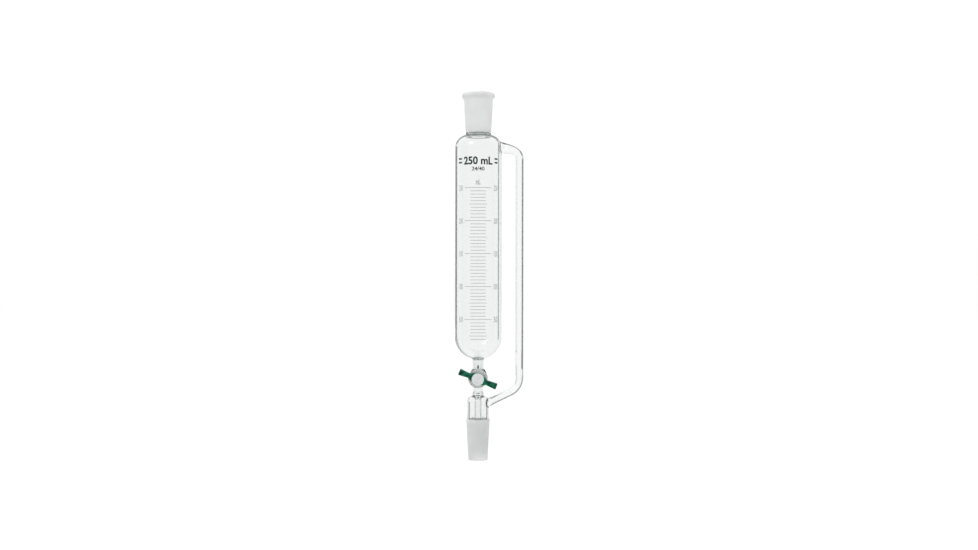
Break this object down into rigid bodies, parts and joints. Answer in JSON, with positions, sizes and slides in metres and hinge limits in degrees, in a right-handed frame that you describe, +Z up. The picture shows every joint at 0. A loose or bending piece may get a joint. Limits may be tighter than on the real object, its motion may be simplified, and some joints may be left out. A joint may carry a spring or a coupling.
{
  "type": "pressure-equalizing addition funnel",
  "caption": "Graduated cylindrical glass funnel with a ground socket above, a plug stopcock with a two-armed handle, a ground cone below and a vapour side arm",
  "frame": {"origin": "centre of the cone joint's lower end", "axes": "+Z up the funnel's axis, +X towards the side arm, -Y towards the stopcock handle"},
  "size_m": [0.0705, 0.064, 0.3772],
  "materials": {
    "clear_glass": "clear polished borosilicate glass",
    "ground_glass": "finely ground, frosted borosilicate glass",
    "ptfe": "white PTFE, waxy satin",
    "green_plastic": "dark green moulded plastic, semi-gloss",
    "rubber": "black rubber, satin"
  },
  "bodies": {
    "glass_body": {"cone_joint": "ground_glass", "vapour_jacket": "clear_glass", "drip_tube": "clear_glass", "lower_stem": "clear_glass", "stopcock_barrel": "clear_glass", "upper_stem": "clear_glass", "reservoir_bottom": "clear_glass", "reservoir_cylinder": "clear_glass", "reservoir_shoulder": "clear_glass", "socket_joint": "ground_glass", "side_arm_upper_bend": "clear_glass", "side_arm_tube": "clear_glass", "side_arm_lower_bend": "clear_glass"},
    "plug": {"stopcock_plug": "ptfe", "stopcock_handle": "green_plastic"},
    "seal_stack": {"plug_washer": "ptfe", "plug_o_ring": "rubber"},
    "nut": {"tension_nut": "green_plastic"}
  },
  "joints": [
    {"name": "plug_turn", "type": "hinge", "parent": "glass_body", "child": "plug", "pos_m": [0, 0, 0.085], "axis": [0, -1, 0], "continuous": true},
    {"name": "seal_slide", "type": "slide", "parent": "plug", "child": "seal_stack", "axis": [0, 1, 0], "range_m": [0, 0.0045]},
    {"name": "nut_turn", "type": "hinge", "parent": "seal_stack", "child": "nut", "pos_m": [0, 0.0263, 0.085], "axis": [0, 1, 0], "range_deg": [0, 1080]}
  ],
  "couplings": [
    {"joint": "nut_turn", "follows": "seal_slide", "rad_per_m": 4188.8}
  ]
}
